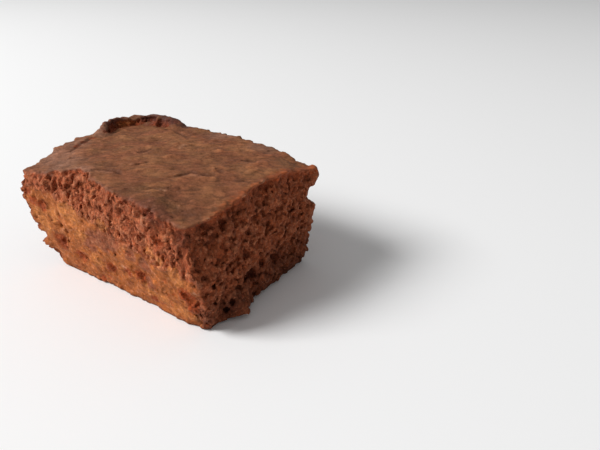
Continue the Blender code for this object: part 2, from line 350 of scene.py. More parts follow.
holes = spots_object("holes", HOLES)
splits = spots_object("splits", [spot for split in SPLITS for spot in split_points(*split)])
print("holes:", len(HOLES), "splits:", len(SPLITS), "points:", len(splits.data.vertices))

# %% [markdown]
# Node trees are long when every sum is wired by hand. A wire wraps one output of a node and
# knows its tree, so that plain sums, such as `radius - distance * size`, add Math nodes. It
# serves the crumb's geometry and, later, the material.

# %% Wires


class Wire:
    """An output in a node tree. Arithmetic on wires adds Math nodes to the tree."""

    def __init__(self, tree, socket):
        self.tree = tree
        self.socket = socket

    def math(self, operation, *others):
        node = self.tree.nodes.new('ShaderNodeMath')
        node.operation = operation
        for socket, value in zip(node.inputs, (self,) + others):
            feed(socket, value)
        return Wire(self.tree, node.outputs[0])

    def __add__(self, other):
        return self.math('ADD', other)

    def __sub__(self, other):
        return self.math('SUBTRACT', other)

    def __rsub__(self, other):
        return (self * -1.0) + other

    def __mul__(self, other):
        return self.math('MULTIPLY', other)

    def __rtruediv__(self, other):
        return self.math('POWER', -1.0) * other

    def __neg__(self):
        return self * -1.0

    __radd__ = __add__
    __rmul__ = __mul__

    def least(self, other, blend=0.0):
        return self.math('SMOOTH_MIN', other, blend) if blend else self.math('MINIMUM', other)

    def most(self, other, blend=0.0):
        return self.math('SMOOTH_MAX', other, blend) if blend else self.math('MAXIMUM', other)

    def step(self, low, high):
        """Nought at low, one at high, and smooth between."""
        node = self.tree.nodes.new('ShaderNodeMapRange')
        node.interpolation_type = 'SMOOTHSTEP'
        for name, value in (("Value", self), ("From Min", low), ("From Max", high)):
            feed(node.inputs[name], value)
        return Wire(self.tree, node.outputs[0])


def feed(socket, value):
    """Links a wire to a socket, or sets the socket to a plain value."""
    if isinstance(value, Wire):
        value.tree.links.new(value.socket, socket)
    else:
        socket.default_value = value


def add_node(tree, kind, settings=None, **inputs):
    """Adds a node, sets its properties and feeds its inputs, named with _ for a space."""
    node = tree.nodes.new(kind)
    for name, value in (settings or {}).items():
        setattr(node, name, value)
    for name, value in inputs.items():
        feed(node.inputs[name.replace("_", " ")], value)
    return node


def new_tree(kind, name, inputs, outputs):
    """A node tree with named inputs and outputs, and a wire for each input."""
    tree = bpy.data.node_groups.new(name, kind)
    for way, sockets in (('INPUT', inputs), ('OUTPUT', outputs)):
        for label, socket in sockets.items():
            tree.interface.new_socket(label, in_out=way, socket_type="NodeSocket" + socket)
    given = tree.nodes.new('NodeGroupInput')
    return tree, [Wire(tree, socket) for socket in given.outputs if socket.name]


def out_of(node, name=0):
    return Wire(node.id_data, node.outputs[name])


def vector_math(operation, first, second):
    node = first.tree.nodes.new('ShaderNodeVectorMath')
    node.operation = operation
    feed(node.inputs[0], first)
    feed(node.inputs["Scale" if operation == 'SCALE' else 1], second)
    return out_of(node, "Value" if operation == 'DOT_PRODUCT' else "Vector")


def parts_of(vector):
    node = add_node(vector.tree, 'ShaderNodeSeparateXYZ', Vector=vector)
    return [Wire(vector.tree, socket) for socket in node.outputs]


def joined(x, y, z):
    return out_of(add_node(x.tree, 'ShaderNodeCombineXYZ', X=x, Y=y, Z=z))


def cells(place, size):
    """Voronoi cells: millimetres to the nearest centre, and three draws for each cell."""
    node = add_node(place.tree, 'ShaderNodeTexVoronoi', Vector=place, Scale=1.0 / size)
    return out_of(node, "Distance") * size, parts_of(out_of(node, "Color"))


def haze(place, size, detail=1.0, roughness=0.5):
    """Soft noise about nought, from about -0.5 to 0.5, with lumps of a size."""
    node = add_node(
        place.tree, 'ShaderNodeTexNoise',
        Vector=place, Scale=1.0 / size, Detail=detail, Roughness=roughness)
    return out_of(node, "Fac") - 0.5


def turned(vector, angle):
    return out_of(add_node(
        vector.tree, 'ShaderNodeVectorRotate', {"rotation_type": 'Z_AXIS'}, Vector=vector, Angle=angle))


# %% [markdown]
# Crumb can't be made by pushing a skin in and out, because torn crumb has overhangs and holes
# behind holes. So it is built as a volume. For every small cube of space, Geometry Nodes work
# out how deep it lies in the cake, cut granules out of the outer millimetre, and take bubbles
# away. Crust has no granules, but swells, creases and the splits. A split is a shallow cut
# with a line of painted shade, drawn wider on its far side, and the wider ones have a raised
# fold in front with a painted highlight.
# The base is cut flat where the cake stands. The mesh is then drawn round what is left.

# %% Crumb as a volume
GRAIN_SIZE = 1.35
GRAIN_RADIUS = (0.58, 0.24)
GRAIN_STAND = (-0.9, 1.35)
GRAIN_BLEND = 0.22
LAYER_DEPTH = 1.0
LAYER_COARSE = 0.4
LAYER_WIPED = 0.65
FIBRE_SIZE = 1.05
FIBRE_RISE = 1.8
STROKE_SIZE = 1.3
STROKE_RISE = 1.1
BUBBLE_SIZE = 5.6
BUBBLE_SHARE = 0.3
PORE_SIZE = 2.4
PORE_SHARE = 0.28
EDGE_SINK = 0.9
SPLIT_DEPTH = 0.4
LINE_NEARER = 0.3
LINE_FARTHER = 0.35
FOLD_RISE = 0.15
TOWARDS_EYE = (math.sin(LOOK_ROUND), -math.cos(LOOK_ROUND), 0.0)
MOST_PROUD = 0.75
CRUST_THICKNESS = 0.7
HOLE_RAGGED = 0.9


def named_value(tree, name, kind='FLOAT'):
    stored = add_node(tree, 'GeometryNodeInputNamedAttribute', {"data_type": kind}, Name=name)
    return out_of(stored, "Attribute")


def sampled(skin, name, kind):
    """The value of an attribute of the skin at the skin's nearest place."""
    return out_of(add_node(
        skin.tree, 'GeometryNodeSampleNearestSurface', {"data_type": kind}, Mesh=skin,
        Value=named_value(skin.tree, name, kind)))


def nearest_face(geometry):
    return add_node(geometry.tree, 'GeometryNodeProximity', {"target_element": 'FACES'}, Geometry=geometry)


def gap_to_faces(geometry):
    return out_of(nearest_face(geometry), "Distance") * (1.0 / MM)


def depth_outside(skin):
    """Millimetres outside the skin, negative inside it."""
    near = nearest_face(skin)
    place = out_of(skin.tree.nodes.new('GeometryNodeInputPosition'))
    away = vector_math('SUBTRACT', place, out_of(near, "Position"))
    outward = sampled(skin, "outward", 'FLOAT_VECTOR')
    side = vector_math('DOT_PRODUCT', away, outward).math('SIGN')
    return side * out_of(near, "Distance") * (1.0 / MM)


def place_in_mm(tree):
    return vector_math('SCALE', out_of(tree.nodes.new('GeometryNodeInputPosition')), 1.0 / MM)


def bent_place(place, size=2.6, reach=1.5):
    """The place pushed about by noise, so that cells laid over it come out irregular."""
    swirl = add_node(place.tree, 'ShaderNodeTexNoise', Vector=place, Scale=1.0 / size, Detail=1.0)
    push = vector_math('SUBTRACT', out_of(swirl, "Color"), (0.5, 0.5, 0.5))
    return vector_math('ADD', place, vector_math('SCALE', push, reach))


def crust_relief(place):
    """Rise of the crust: low swells, long creases across the piece and small dimples."""
    across = turned(bent_place(place, 6.0, 2.5), -LOOK_ROUND)
    long_way = vector_math('MULTIPLY', across, (0.42, 1.0, 1.0))
    ridges = haze(long_way, 3.0, 2.0).math('ABSOLUTE') * 2.4
    creases = haze(long_way, 2.2, 2.0) * 0.9 + ridges
    return haze(place, 9.0) * 1.4 + creases + haze(place, 1.3) * 0.5


def nearest_spot(spots, place):
    """Millimetres to the nearest of the loose points, that point's radius, and its place."""
    tree = place.tree
    here = {"Geometry": spots, "Sample_Position": vector_math('SCALE', place, MM)}
    near = add_node(tree, 'GeometryNodeProximity', {"target_element": 'POINTS'}, **here)
    nearest = add_node(tree, 'GeometryNodeSampleNearest', {"domain": 'POINT'}, **here)
    radius = add_node(
        tree, 'GeometryNodeSampleIndex', {"data_type": 'FLOAT', "domain": 'POINT'}, Geometry=spots,
        Value=named_value(tree, "radius"), Index=out_of(nearest))
    spot_place = vector_math('SCALE', out_of(near, "Position"), 1.0 / MM)
    return out_of(near, "Distance") * (1.0 / MM), out_of(radius), spot_place


def split_cut(splits, place):
    """A split's share of painted shade, the fold's share of painted highlight, and their fall in
    millimetres.
    """
    x, y, _ = parts_of(place)
    flat = joined(x, y, 0.0)
    gap, half_width, middle = nearest_spot(splits, flat)
    nearer = vector_math('DOT_PRODUCT', vector_math('SUBTRACT', flat, middle), TOWARDS_EYE)
    cut = 1.0 - gap.step(0.3, half_width + 0.55)
    off_line = gap + nearer.most(0.0) * LINE_NEARER - (-nearer).most(0.0) * LINE_FARTHER
    painted = (1.0 - off_line.step(0.15, half_width * 2.2 + 0.3)) * half_width.step(0.1, 0.65)
    fold = nearer.step(0.9, 1.7) * (1.0 - nearer.step(1.9, 3.2)) * (1.0 - gap.step(2.0, 3.2))
    fold = fold * half_width.step(0.5, 0.7)
    return painted, fold, cut * (half_width + 0.4) * SPLIT_DEPTH - fold * FOLD_RISE


def bubbles(bent, size, share, smallest, growth, reach, outside):
    """Positive inside a bubble. A share of the cells hold one, none deeper than its reach."""
    gap, draws = cells(bent, size)
    missing = draws[0].math('LESS_THAN', 1.0 - share) * 9.0
    radius = (draws[0] - (1.0 - share)) * growth + smallest
    return (radius - gap).least(outside + reach) - missing


def crumb_density(skin, top, holes, splits):
    """Positive inside the finished cake, in millimetres."""
    tree = skin.tree
    place = place_in_mm(tree)
    outside = depth_outside(skin)
    shares = add_node(tree, 'FunctionNodeSeparateColor')
    feed(shares.inputs[0], sampled(skin, "shares", 'FLOAT_COLOR'))
    is_open, pulled, wiped, coarse = (Wire(tree, socket) for socket in shares.outputs)
    below_crust = gap_to_faces(top)
    band = (1.0 - below_crust.step(0.0, CRUST_THICKNESS)) * coarse.step(0.2, 0.9)
    loose = is_open * (1.0 - band)
    sink = (1.0 - below_crust.step(0.8, 4.5)) * (coarse * 0.8 + 0.2) * EDGE_SINK
    bent = bent_place(place)
    x, y, z = parts_of(bent)
    grain_gap, grain_draw = cells(joined(x, y, z * (1.0 - pulled * 0.25)), GRAIN_SIZE)
    grain = (grain_draw[0] * GRAIN_RADIUS[1] + GRAIN_RADIUS[0]) * GRAIN_SIZE - grain_gap
    stand = loose * (grain_draw[1] * GRAIN_STAND[1] + GRAIN_STAND[0] - sink) * (1.0 - wiped * 0.5)
    layer = loose * (coarse * LAYER_COARSE - wiped * LAYER_WIPED + LAYER_DEPTH)
    body = (-outside - layer).most(grain.least(stand - outside, GRAIN_BLEND), GRAIN_BLEND)
    fibre = haze(joined(x, y, z * 0.45), FIBRE_SIZE) * pulled * FIBRE_RISE
    stroke = haze(joined(x * 0.2, y, z + x * 0.15), STROKE_SIZE) * wiped * STROKE_RISE
    rough = haze(place, 0.85, 2.0) * 0.85 + haze(place, 3.4) * 1.1
    body = body + (fibre + stroke + rough * (1.0 - wiped * 0.3)) * loose
    body = body.least(MOST_PROUD - outside - sink * 0.6, 0.3)
    closed = (1.0 - loose) * 5.0 + wiped * 0.3 + pulled * 0.55
    bubble = bubbles(bent, BUBBLE_SIZE, BUBBLE_SHARE, 0.7, 2.2, 3.0, outside)
    pore = bubbles(bent, PORE_SIZE, PORE_SHARE, 0.35, 0.8, 1.8, outside)
    body = body.least(closed - bubble, 0.2).least(closed - pore, 0.15)
    hole_gap, hole_radius, _ = nearest_spot(holes, bent_place(place, 1.6, 1.4))
    body = body.least(hole_gap - hole_radius + haze(place, 1.1, 2.0) * HOLE_RAGGED, 0.2)
    surface = crust_relief(place) - split_cut(splits, place)[2]
    return (body + surface * (1.0 - is_open)).least(parts_of(place)[2])


def largest_island(geometry):
    """Keeps the biggest connected mesh and drops the floating crumbs."""
    tree = geometry.tree
    island = out_of(add_node(tree, 'GeometryNodeInputMeshIsland'), "Island Index")
    count = add_node(tree, 'GeometryNodeAccumulateField', {"domain": 'POINT'}, Value=1.0, Group_ID=island)
    total = out_of(count, "Total")
    stats = add_node(tree, 'GeometryNodeAttributeStatistic', Geometry=geometry, Attribute=total)
    small = total.math('LESS_THAN', out_of(stats, "Max") - 0.5)
    return out_of(add_node(tree, 'GeometryNodeDeleteGeometry', Geometry=geometry, Selection=small))


def object_mesh(item):
    return out_of(add_node(item.tree, 'GeometryNodeObjectInfo', Object=item), "Geometry")


def crust_faces(skin):
    chosen = named_value(skin.tree, "crust").math('GREATER_THAN', 0.5)
    return out_of(add_node(skin.tree, 'GeometryNodeSeparateGeometry', Geometry=skin, Selection=chosen))


def cake_tree(name, **inputs):
    """A Geometry Nodes tree for the cake. A _ in an input's name stands for a space."""
    inputs = {label.replace("_", " "): kind for label, kind in inputs.items()}
    return new_tree('GeometryNodeTree', name, inputs, {"Cake": "Geometry"})


def finish_tree(tree, cake, material):
    plain = add_node(tree, 'GeometryNodeRealizeInstances', Geometry=cake)
    final = add_node(tree, 'GeometryNodeSetMaterial', Geometry=out_of(plain), Material=material)
    tree.links.new(final.outputs[0], tree.nodes.new('NodeGroupOutput').inputs["Cake"])
    return tree


def crumb_tree(material):
    tree, (skin, holes, splits, low, high, *counts) = cake_tree(
        "Torn crumb", Skin="Geometry", Holes="Object", Splits="Object", Low_corner="Vector",
        High_corner="Vector", Cubes_in_X="Int", Cubes_in_Y="Int", Cubes_in_Z="Int")
    density = crumb_density(skin, crust_faces(skin), object_mesh(holes), object_mesh(splits))
    volume = add_node(
        tree, 'GeometryNodeVolumeCube', Density=density, Background=-1.0, Min=low, Max=high,
        Resolution_X=counts[0], Resolution_Y=counts[1], Resolution_Z=counts[2])
    surface = add_node(tree, 'GeometryNodeVolumeToMesh', Volume=out_of(volume), Threshold=0.0)
    cake = largest_island(out_of(surface))
    shaded = add_node(tree, 'GeometryNodeSetShadeSmooth', Geometry=cake)
    return finish_tree(tree, out_of(shaded), material)


# %% [markdown]
# The volume gives far more faces than the piece needs, mostly on the flat crust and base.
# Spikes are blunted first. Decimating by collapse then takes faces where the surface is plain
# and keeps them in the crumb. It would also thin the splits, whose thin lines need close
# points, so a vertex group spares them. A second, short tree stores on each point what the
# material wants to know: how deep it lies, how far below the crust, which grain it belongs
# to, where it is on the crust's relief and splits, and the shares of the core.

# %% Growing the crumb
CRUMB_VOXEL = 0.38
VOLUME_MARGIN = 1.5
SPIKE_SMOOTHING = 3
MOST_TRIANGLES = 190000
SPARED_ABOVE = 33.0
SPARED_REACH = 2.0


def store(geometry, name, kind, value):
    return out_of(add_node(
        geometry.tree, 'GeometryNodeStoreNamedAttribute', {"data_type": kind},
        Geometry=geometry, Name=name, Value=value))


def marks_tree(material):
    tree, (cake, core_item, splits) = cake_tree(
        "Crumb marks", Piece="Geometry", Core="Object", Splits="Object")
    skin = object_mesh(core_item)
    place = place_in_mm(tree)
    painted, fold, _ = split_cut(object_mesh(splits), place)
    marks = {
        "depth": depth_outside(skin),
        "lip": gap_to_faces(crust_faces(skin)),
        "grain": cells(bent_place(place), GRAIN_SIZE)[1][2],
        "rise": crust_relief(place),
        "split": painted,
        "fold": fold,
        "crust": sampled(skin, "crust", 'FLOAT'),
    }
    for name, value in marks.items():
        cake = store(cake, name, 'FLOAT', value)
    cake = store(cake, "shares", 'FLOAT_COLOR', sampled(skin, "shares", 'FLOAT_COLOR'))
    return finish_tree(tree, cake, material)


def set_inputs(modifier, tree, **values):
    """Sets a node modifier's inputs, named with _ for a space, by their sockets' identifiers."""
    modifier.node_group = tree
    sockets = {item.name: item.identifier for item in tree.interface.items_tree if item.in_out == 'INPUT'}
    for name, value in values.items():
        modifier[sockets[name.replace("_", " ")]] = value


def grow_crumb(core, material):
    """The cake's outside, fine and unthinned, from the crumb tree run on the core."""
    voxel = CRUMB_VOXEL
    low = [(value - VOLUME_MARGIN) * MM for value in LOW_CORNER]
    high = [(value + VOLUME_MARGIN) * MM for value in HIGH_CORNER]
    count = [round((top - bottom) / (voxel * MM)) for bottom, top in zip(low, high)]
    grower = core.modifiers.new("Crumb", 'NODES')
    set_inputs(
        grower, crumb_tree(material), Holes=holes, Splits=splits, Low_corner=low, High_corner=high,
        Cubes_in_X=count[0], Cubes_in_Y=count[1], Cubes_in_Z=count[2])
    piece = linked_object("cake_piece", evaluated_mesh(core))
    core.modifiers.clear()
    print("grown:", len(piece.data.polygons), "faces")
    return piece


def spare_splits(piece):
    """Puts the points round the splits into a vertex group, so that their faces stay fine."""
    tree = KDTree(len(splits.data.vertices))
    for point in splits.data.vertices:
        tree.insert(point.co, point.index)
    tree.balance()
    near = [
        point.index for point in piece.data.vertices if point.co.z > SPARED_ABOVE * MM
        and tree.find((point.co.x, point.co.y, 0.0))[2] < SPARED_REACH * MM]
    piece.vertex_groups.new(name="Splits").add(near, 1.0, 'REPLACE')
    print("points spared:", len(near))


def thin_and_mark(piece, core, material):
    """Collapses the mesh to MOST_TRIANGLES and stores the marks for the material."""
    piece.data.calc_loop_triangles()
    count = len(piece.data.loop_triangles)
    soften = piece.modifiers.new("Blunt the spikes", 'SMOOTH')
    soften.iterations = SPIKE_SMOOTHING
    thinner = piece.modifiers.new("Fewer faces", 'DECIMATE')
    thinner.ratio = min(1.0, MOST_TRIANGLES / count)
    thinner.use_collapse_triangulate = True
    spare_splits(piece)
    thinner.vertex_group = "Splits"
    thinner.invert_vertex_group = True
    marker = piece.modifiers.new("Marks", 'NODES')
    set_inputs(marker, marks_tree(material), Core=core, Splits=splits)
    thinned = evaluated_mesh(piece)
    piece.modifiers.clear()
    piece.data = thinned
    piece.vertex_groups.clear()
    print("thinned from", count, "to", len(thinned.polygons), "triangles")


# %% [markdown]
# Moist crumb isn't one brown. Syrup and fat gather in rust-red patches, the knife leaves tan
# smears, and here and there the crumb is pressed to a plum brown. The crust gets a pale grey
# painted sheen in places. Painted shade lies along the raised rim, in some hollows, on the
# front corner and on the crust's front slope. Some bright specks are pale crumbs, the others
# painted highlights. The patches and specks that catch the eye are listed by place and reach.
# Each kind has a weight on the points, and the material breaks the patches' edges up with noise.

# %% Patches
RUST_PATCHES = (
    (-23.9, -27.3, 12.1, 3.4), (-32.6, -29.7, 25.8, 2), (-29.1, -28.8, 24.4, 2.4), (-15.5, -26.7, 9.1, 2.8),
    (-0.3, -27.1, 9.9, 2.4), (17.9, -25.8, 4.4, 2), (33.5, -27.7, 12.7, 3.4), (35.2, -26.7, 8.7, 2.6),
    (14.3, -27.5, 12.5, 2.6), (-8, -27.6, 30.9, 2.6), (-34.7, -29.4, 28.9, 2.2), (26.3, -30.1, 28.4, 2.8),
    (8.7, -27.4, 11.8, 2.4), (-8.5, -24.6, 2, 1.8), (-33.6, -9, 38.4, 1.6), (-34.6, -5.5, 38.4, 1.6),
    (-35.2, -1.5, 38.4, 1.6), (40.5, -24, 32.5, 2.4), (40, -30, 33, 2),
)
TAN_PATCHES = (
    (-6.5, -27.3, 10.7, 3.2), (25.5, -25.7, 4.6, 3.4), (34.1, -25, 3.3, 2.6), (-13.8, -28.9, 25, 4.2),
    (-30.3, -28.5, 17, 4.2), (-23.8, -29, 22.7, 3.7), (-10.7, -28.8, 18.9, 3.2), (-17.6, -28.9, 26.1, 3.2),
    (31.4, -28.8, 17.8, 3.7), (22.5, -26.2, 6.2, 3.2), (16.9, -26.7, 8, 2.7), (30.2, -25.7, 5.4, 2.7),
    (2.2, -29.7, 26.8, 2.7), (-31.6, -28.6, 20.8, 3.2), (-38.5, 15, 40, 2.6), (-37.8, 18.5, 40.5, 2.6),
    (22, -29.3, 23.5, 2.4), (26.5, -29.5, 22.5, 2.2), (31, -29, 20.5, 2),
)
PLUM_PATCHES = (
    (0.3, -28.9, 20.3, 4.7), (-3.9, -28.5, 20.1, 3.7), (4.6, -28.4, 21, 4.2), (13, -28.9, 19.5, 3),
    (18.3, -28.3, 17.6, 3.2), (17.7, -27, 10.9, 2.7), (-7.2, -28.2, 16.5, 3.2), (21, -26.5, 37, 3.4),
    (24.5, -27.5, 36.5, 3.8), (28, -28, 36, 3.2),
)
# Places of a pale grey painted sheen on the crust.
PAINTED_SHEEN_PATCHES = (
    (-33, -18, 37, 8), (-24, -21, 37.5, 7), (-36, -8, 38, 6), (-12, -24, 38, 5), (-38, 4, 38.5, 5),
    (20, 26, 38.5, 6), (0, 27, 38.5, 6),
)
# Places of painted shade: some hollows, the front corner, the crust's front slope and the raised rim.
SHADY_PATCHES = (
    (-37, 6.5, 40, 3), (-38, 10, 40.5, 2.5), (-32, 23, 40.5, 4), (-25, 25, 40.5, 4), (-18, 25.5, 40, 3),
    (41, -24, 31, 4), (40, -5, 36, 1.5), (38.5, -5, 10.3, 3), (39, 7.5, 9.9, 3), (39.5, -16.5, 5, 3),
    (40, -27, 28, 3), (22, -22.5, 37.5, 7), (31, -21, 36.5, 6), (12, -23, 38.5, 5), (24, -27.5, 35, 3),
    (34.5, -28, 31.5, 3.5),
)
# Places of painted shade along the raised rim, on its crest and inner wall.
RIM_SHADE_PATCHES = (
    (-39.5, 8, 41.5, 2.4), (-39.5, 12, 42, 2.4), (-39, 16, 42.5, 2.4), (-38, 20, 42.5, 2.4),
    (-35, 23.5, 41.5, 3), (-31.5, 25.5, 41.5, 3.2), (-27, 26.5, 41, 3.4), (-22.5, 26.5, 41, 3.2),
    (-18, 27, 40.5, 2.8),
)
# Bright specks: some are pale crumbs, the others painted highlights.
BRIGHT_SPECKS = (
    (-1.2, 7.3, 39.3, 0.5), (-1.4, 8.5, 39.3, 0.6), (-1.6, 9.6, 39.3, 0.6), (-1.7, 10.8, 39.3, 0.5),
    (18.8, -19.9, 38.3, 0.5), (19.9, -19.4, 38.3, 0.55), (38.7, 1.9, 38.2, 0.7), (38.6, -1.1, 36.9, 0.6),
    (39.8, -7.9, 37.5, 0.7), (38.3, -21.4, 35.8, 0.5), (28.2, -15.3, 37.7, 0.35), (40.4, 1, 32.9, 0.7),
    (7.3, -27.6, 13, 0.8), (37.6, -27.6, 15.5, 0.8), (-17, -27, 31, 0.7), (22, -29.6, 34, 0.8),
    (34, -29.9, 29.5, 0.7), (-38.3, 13.5, 40.8, 0.9), (-38, 17, 41.2, 1), (-37.4, 19.5, 41, 0.8),
)
PATCHES = {
    "rust": RUST_PATCHES, "tan": TAN_PATCHES, "plum": PLUM_PATCHES, "shady": SHADY_PATCHES,
    "sheen_paint": PAINTED_SHEEN_PATCHES, "rim_shade": RIM_SHADE_PATCHES, "bright": BRIGHT_SPECKS}


def point_places(data):
    places = np.empty(len(data.vertices) * 3, dtype=np.float32)
    data.vertices.foreach_get("co", places)
    return places.reshape(-1, 3) / MM


def mark_patches(data):
    places = point_places(data)
    for name, patches in PATCHES.items():
        weight = np.zeros(len(places), dtype=np.float32)
        for x, y, z, reach in patches:
            squared = ((places - np.array((x, y, z), dtype=np.float32)) ** 2).sum(axis=1)
            weight = np.maximum(weight, np.exp(-squared / reach ** 2))
        data.attributes.new(name, 'FLOAT', 'POINT').data.foreach_set("value", weight)
        print(name, "points:", int((weight > 0.4).sum()), "of", len(places))


# %% [markdown]
# The bake wants a UV map without waste. The piece is a box seen from its middle: every face
# belongs to the side of the box that a ray from the middle through it would meet, and the six
# sides lie beside each other on the map.

# %% UV map
MAP_MARGIN = 0.012
MAP_OVERHANG = 1.06
MAP_NEAREST = 0.05
MAP_ROWS = ((2, 0, 1), (1, 0, 2), (0, 1, 2))


def wrap_uv(data):
    """Lays the six sides of the box out in three rows of two."""
    corners_low, corners_high = np.array(LOW_CORNER), np.array(HIGH_CORNER)
    half = (corners_high - corners_low) / 2.0
    rays = (point_places(data) - (corners_high + corners_low) / 2.0) / half
    corners = np.empty(len(data.loops), dtype=np.int32)
    data.loops.foreach_get("vertex_index", corners)
    centres = rays[corners].reshape(-1, 3, 3).mean(axis=1)
    axis = np.abs(centres).argmax(axis=1)
    sign = np.sign(centres[np.arange(len(axis)), axis])
    uv = np.zeros((len(corners), 2))
    floor_v = 0.0
    for facing, across, upward in MAP_ROWS:
        row_height = half[upward] / (half[1] + 2.0 * half[2])
        for column in (0, 1):
            chosen = np.repeat((axis == facing) & (sign == 1 - 2 * column), 3)
            ray = rays[corners[chosen]]
            reach = np.maximum(np.abs(ray[:, facing]), MAP_NEAREST)
            spans = ((across, column * 0.5, 0.5), (upward, floor_v, row_height))
            for channel, (other, start, size) in enumerate(spans):
                share = np.clip(ray[:, other] / reach / MAP_OVERHANG, -1.0, 1.0) / 2.0 + 0.5
                uv[chosen, channel] = start + MAP_MARGIN + share * (size - 2.0 * MAP_MARGIN)
        floor_v += row_height
    layer = data.uv_layers.new(name="OFBake")
    layer.data.foreach_set("uv", uv.ravel())
    print("map spans", uv.min(axis=0).round(3), "to", uv.max(axis=0).round(3))


# %% [markdown]
# Crust and crumb are one bake, so one material paints both and blends them by the shares on
# the points. Three small shader groups do the repeated work. Speckle gives light and dark
# spots of a size, as a number round one to multiply a colour with. Patch edge breaks up a soft
# mask. Granules give each small grain its own shade and a rounded height for the bump.

# %% Shader helpers


def shader_group(name, *outputs, **inputs):
    """A shader group for numbers: its tree, a wire for each input, and the outputs."""
    tree, wires = new_tree('ShaderNodeTree', name, inputs, {label: "Float" for label in outputs})
    return tree, wires, tree.nodes.new('NodeGroupOutput').inputs


def speckle_group():
    tree, (place, size, amount), result = shader_group(
        "Speckle", "Shade", Place="Vector", Size="Float", Amount="Float")
    feed(result["Shade"], haze(place, size, 2.0, 0.55) * amount * 2.0 + 1.0)
    return tree


def patch_edge_group():
    tree, (place, weight, size), result = shader_group(
        "Patch edge", "Mask", Place="Vector", Weight="Float", Size="Float")
    feed(result["Mask"], (weight + haze(place, size, 3.0, 0.55) * 0.9).step(0.3, 0.72))
    return tree


def granule_group():
    tree, (place, size), result = shader_group(
        "Granules", "Shade", "Height", Place="Vector", Size="Float")
    swirl = add_node(tree, 'ShaderNodeTexNoise', Vector=place, Scale=0.9, Detail=2.0)
    bent = vector_math('ADD', place, out_of(swirl, "Color"))
    node = add_node(tree, 'ShaderNodeTexVoronoi', Vector=bent, Scale=1.0 / size)
    feed(result["Shade"], parts_of(out_of(node, "Color"))[0] * 0.44 + 0.78)
    feed(result["Height"], 0.6 - out_of(node, "Distance"))
    return tree


SPECKLE = speckle_group()
GRANULES = granule_group()
PATCH_EDGE = patch_edge_group()


def use_group(group, place, output=0, **inputs):
    node = add_node(place.tree, 'ShaderNodeGroup', {"node_tree": group}, Place=place, **inputs)
    return out_of(node, output)


def mixed(share, first, second):
    """A colour between two, which are wires or plain linear colours."""
    node = add_node(share.tree, 'ShaderNodeMix', {"data_type": 'RGBA'})
    feed(node.inputs["Factor"], share)
    colours = [socket for socket in node.inputs if socket.type == 'RGBA']
    for socket, value in zip(colours, (first, second)):
        feed(socket, value if isinstance(value, Wire) else (*value, 1.0))
    return Wire(share.tree, [socket for socket in node.outputs if socket.type == 'RGBA'][0])


def shaded_by(colour, shade):
    """A colour made lighter or darker by a number."""
    return vector_math('SCALE', colour, shade)


def attribute(tree, name, output="Fac"):
    return out_of(add_node(tree, 'ShaderNodeAttribute', {"attribute_name": name}), output)


# %% [markdown]
# The crumb's colour changes from place to place: reddish where it was pulled, tan where it
# was wiped, darker in the coarse right end and along the baked base. Painted shade darkens the
# pores and the low part of the right end, and painted highlights lighten the proud crumbs.
# Under the crust runs a rust-red line. The crust is a dull milk-chocolate brown with olive and
# reddish clouds, and turns rusty along the right edge. Its creases hardly catch the window's
# light, so their shade is partly paint: painted shade in the hollows of its relief and along
# the splits, painted light on its crests and on the folds. Crumb is almost matt, and only its
# specks glisten; the glints are also painted lighter.

# %% The cake's material
CRUMB_PULLED = (0.315, 0.073, 0.025)
CRUMB_WIPED = (0.350, 0.099, 0.022)
CRUMB_COARSE = (0.252, 0.056, 0.017)
CRUMB_BRIGHT = (0.560, 0.220, 0.108)
RUST = (0.290, 0.047, 0.008)
EDGE_RUST = (0.320, 0.074, 0.021)
ORANGE = (0.450, 0.135, 0.048)
RUST_DARK = (0.190, 0.036, 0.011)
TAN = (0.470, 0.158, 0.041)
PLUM = (0.230, 0.066, 0.032)
PAINTED_SHADE = (0.110, 0.019, 0.007)
BASE_DARK = (0.110, 0.034, 0.015)
CRUST_BROWN = (0.220, 0.080, 0.033)
CRUST_OLIVE = (0.228, 0.090, 0.036)
CRUST_SHEEN_PAINT = (0.240, 0.108, 0.064)
CRUST_TORN = (0.165, 0.050, 0.026)
SPLIT_SHADE = (0.085, 0.028, 0.012)
FOLD_HIGHLIGHT = (0.300, 0.135, 0.082)
CRUST_RED = (0.215, 0.072, 0.031)
RIM_SHADE_COLOUR = (0.105, 0.036, 0.024)
SPECK = (0.520, 0.245, 0.135)
CRUMB_PATCHES = (("tan", 2.2, 0.8, TAN), ("plum", 2.8, 0.8, PLUM), ("rust", 1.6, 0.85, RUST))
CRUMB_RIM_SHADE = (("rim_shade", 1.6, 0.7, RIM_SHADE_COLOUR),)
CRUST_PATCHES = (("rust", 1.6, 0.8, RUST), ("plum", 2.0, 0.7, CRUST_TORN))
CRUST_RIM_SHADE = (("rim_shade", 1.6, 0.85, RIM_SHADE_COLOUR),)
RUSTY_EDGE = (36.4, 39.8)
CRUMB_ROUGHNESS = 0.74
CAKE_SPECULAR = 0.2
CRUST_SHEEN = 0.14
GLINT_SHEEN = 0.3
BUMP_DEPTH = 0.4


def patched(place, colour, patches, kinds):
    """Lays patches on a colour. A kind is a name, a size of ragged edge, a strength and a colour."""
    for name, size, strength, paint in kinds:
        mask = use_group(PATCH_EDGE, place, Weight=patches[name], Size=size)
        colour = mixed(mask * strength, colour, paint)
    return colour


